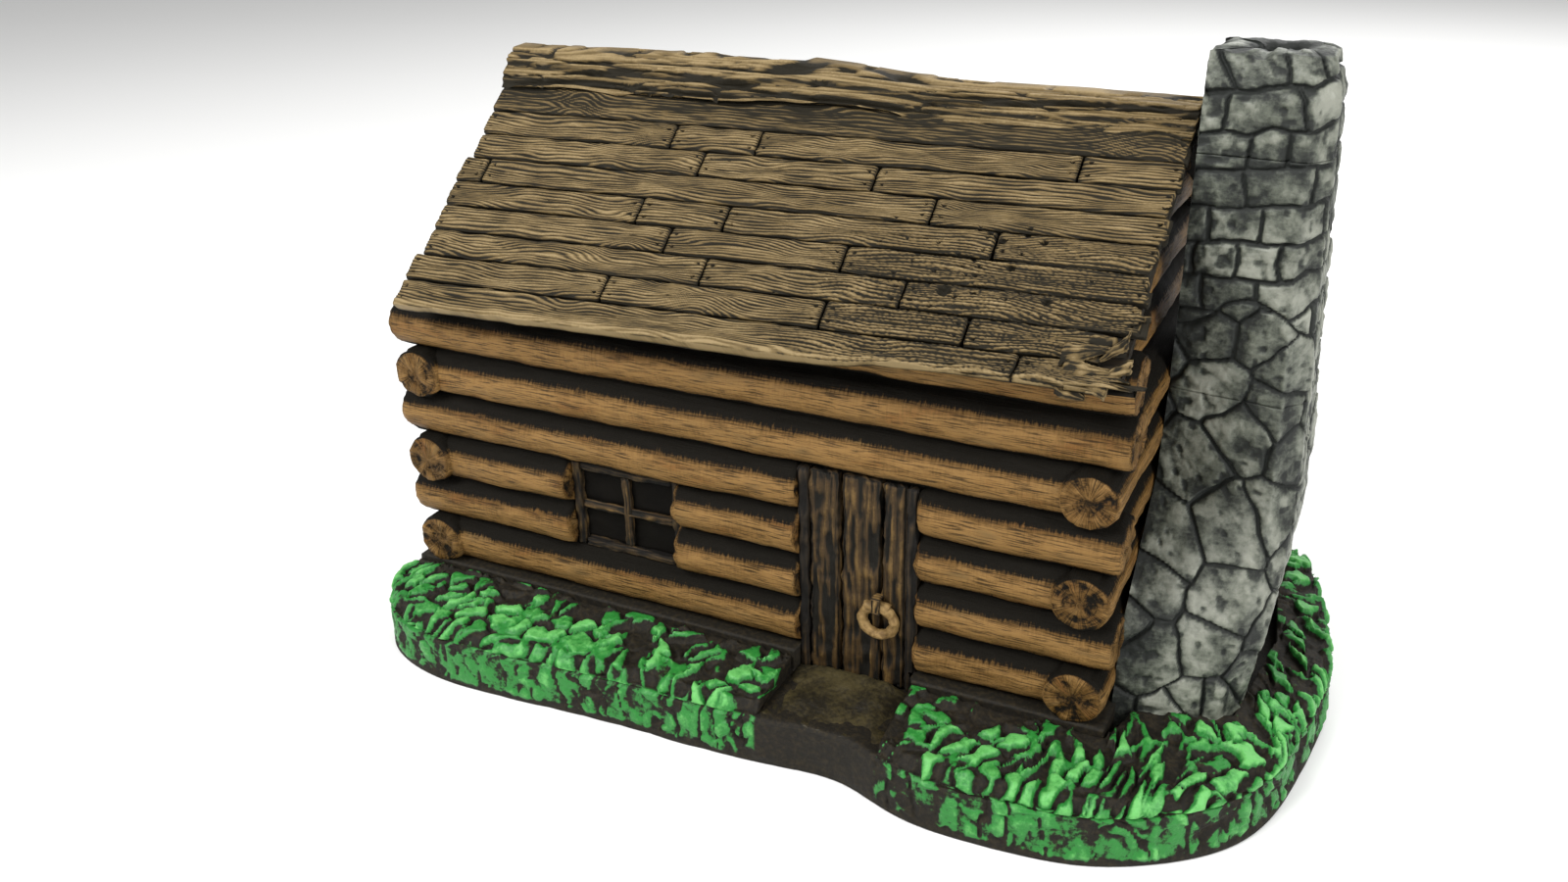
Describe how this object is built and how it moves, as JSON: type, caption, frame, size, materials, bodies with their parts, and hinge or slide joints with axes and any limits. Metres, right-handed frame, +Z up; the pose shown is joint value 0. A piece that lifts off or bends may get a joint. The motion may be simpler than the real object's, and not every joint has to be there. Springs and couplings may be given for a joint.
{
  "type": "aquarium log cabin ornament",
  "caption": "Cast resin aquarium ornament shaped as a hollow log cabin with boarded gable roof, stone chimney, plank door, small window and grassy base.",
  "frame": {"origin": "centre of the underside of the whole ornament's box", "axes": "+X along the ridge towards the chimney gable, which is the longest extent; -Y is the door side; +Z up"},
  "size_m": [0.152, 0.0942, 0.1002],
  "materials": {
    "log_brown": "satin painted resin, warm brown dry-brushed over black in the seams",
    "roof_boards": "matte painted resin, khaki brown over black grain",
    "roof_deck": "matte dark brown painted resin",
    "chimney_stone": "satin painted resin, silver grey dry-brushed over black-green",
    "grass_green": "satin painted resin, bright green over near-black",
    "earth_slab": "satin painted resin, green streaks over dark brown",
    "path_earth": "matte dark brown painted resin",
    "door_wood": "satin painted resin, dark brown with black grain",
    "door_shadow": "matte near-black brown painted resin",
    "door_ring": "satin painted resin, tan brown",
    "window_wood": "matte painted resin, brown over black",
    "window_black": "satin black paint"
  },
  "bodies": {
    "root": {"chimney_crown": "chimney_stone", "chimney_foot": "chimney_stone", "chimney_shaft": "chimney_stone", "door_board_left": "door_wood", "door_board_middle": "door_wood", "door_board_right": "door_wood", "door_frame": "door_shadow", "door_path": "path_earth", "door_ring": "door_ring", "front_log_1_left": "log_brown", "front_log_1_right": "log_brown", "front_log_2_left": "log_brown", "front_log_2_middle": "log_brown", "front_log_2_right": "log_brown", "front_log_3_left": "log_brown", "front_log_3_middle": "log_brown", "front_log_3_right": "log_brown", "front_log_4_left": "log_brown", "front_log_4_right": "log_brown", "front_log_5": "log_brown", "front_log_6": "log_brown", "front_plate_log": "log_brown", "front_roof_boards_row_1": "roof_boards", "front_roof_boards_row_2": "roof_boards", "front_roof_boards_row_3": "roof_boards", "front_roof_boards_row_4": "roof_boards", "front_roof_boards_row_5": "roof_boards", "front_roof_boards_row_6": "roof_boards", "front_roof_boards_row_7": "roof_boards", "front_roof_boards_row_8": "roof_boards", "front_roof_boards_row_9": "roof_boards", "grass_bank_front_left": "grass_green", "grass_bank_rear_left": "grass_green", "grass_bank_rear_right": "grass_green", "grass_bank_right": "grass_green", "ground_slab": "earth_slab", "left_gable_logs": "log_brown", "left_wall_butted_logs": "log_brown", "left_wall_log_1": "log_brown", "left_wall_log_3": "log_brown", "left_wall_log_5": "log_brown", "rear_log_5": "log_brown", "rear_log_6": "log_brown", "rear_logs_beside_mouth": "log_brown", "rear_plate_log": "log_brown", "rear_roof_boards": "roof_boards", "ridge_cap": "roof_boards", "right_gable_logs": "log_brown", "right_wall_log_1": "log_brown", "right_wall_log_2": "log_brown", "right_wall_log_3": "log_brown", "right_wall_log_4": "log_brown", "right_wall_log_5": "log_brown", "right_wall_log_6": "log_brown", "ring_staple": "door_ring", "roof_deck_front": "roof_deck", "roof_deck_rear": "roof_deck", "window_frame": "window_wood", "window_muntins": "window_wood", "window_panes": "window_black"}
  },
  "joints": []
}
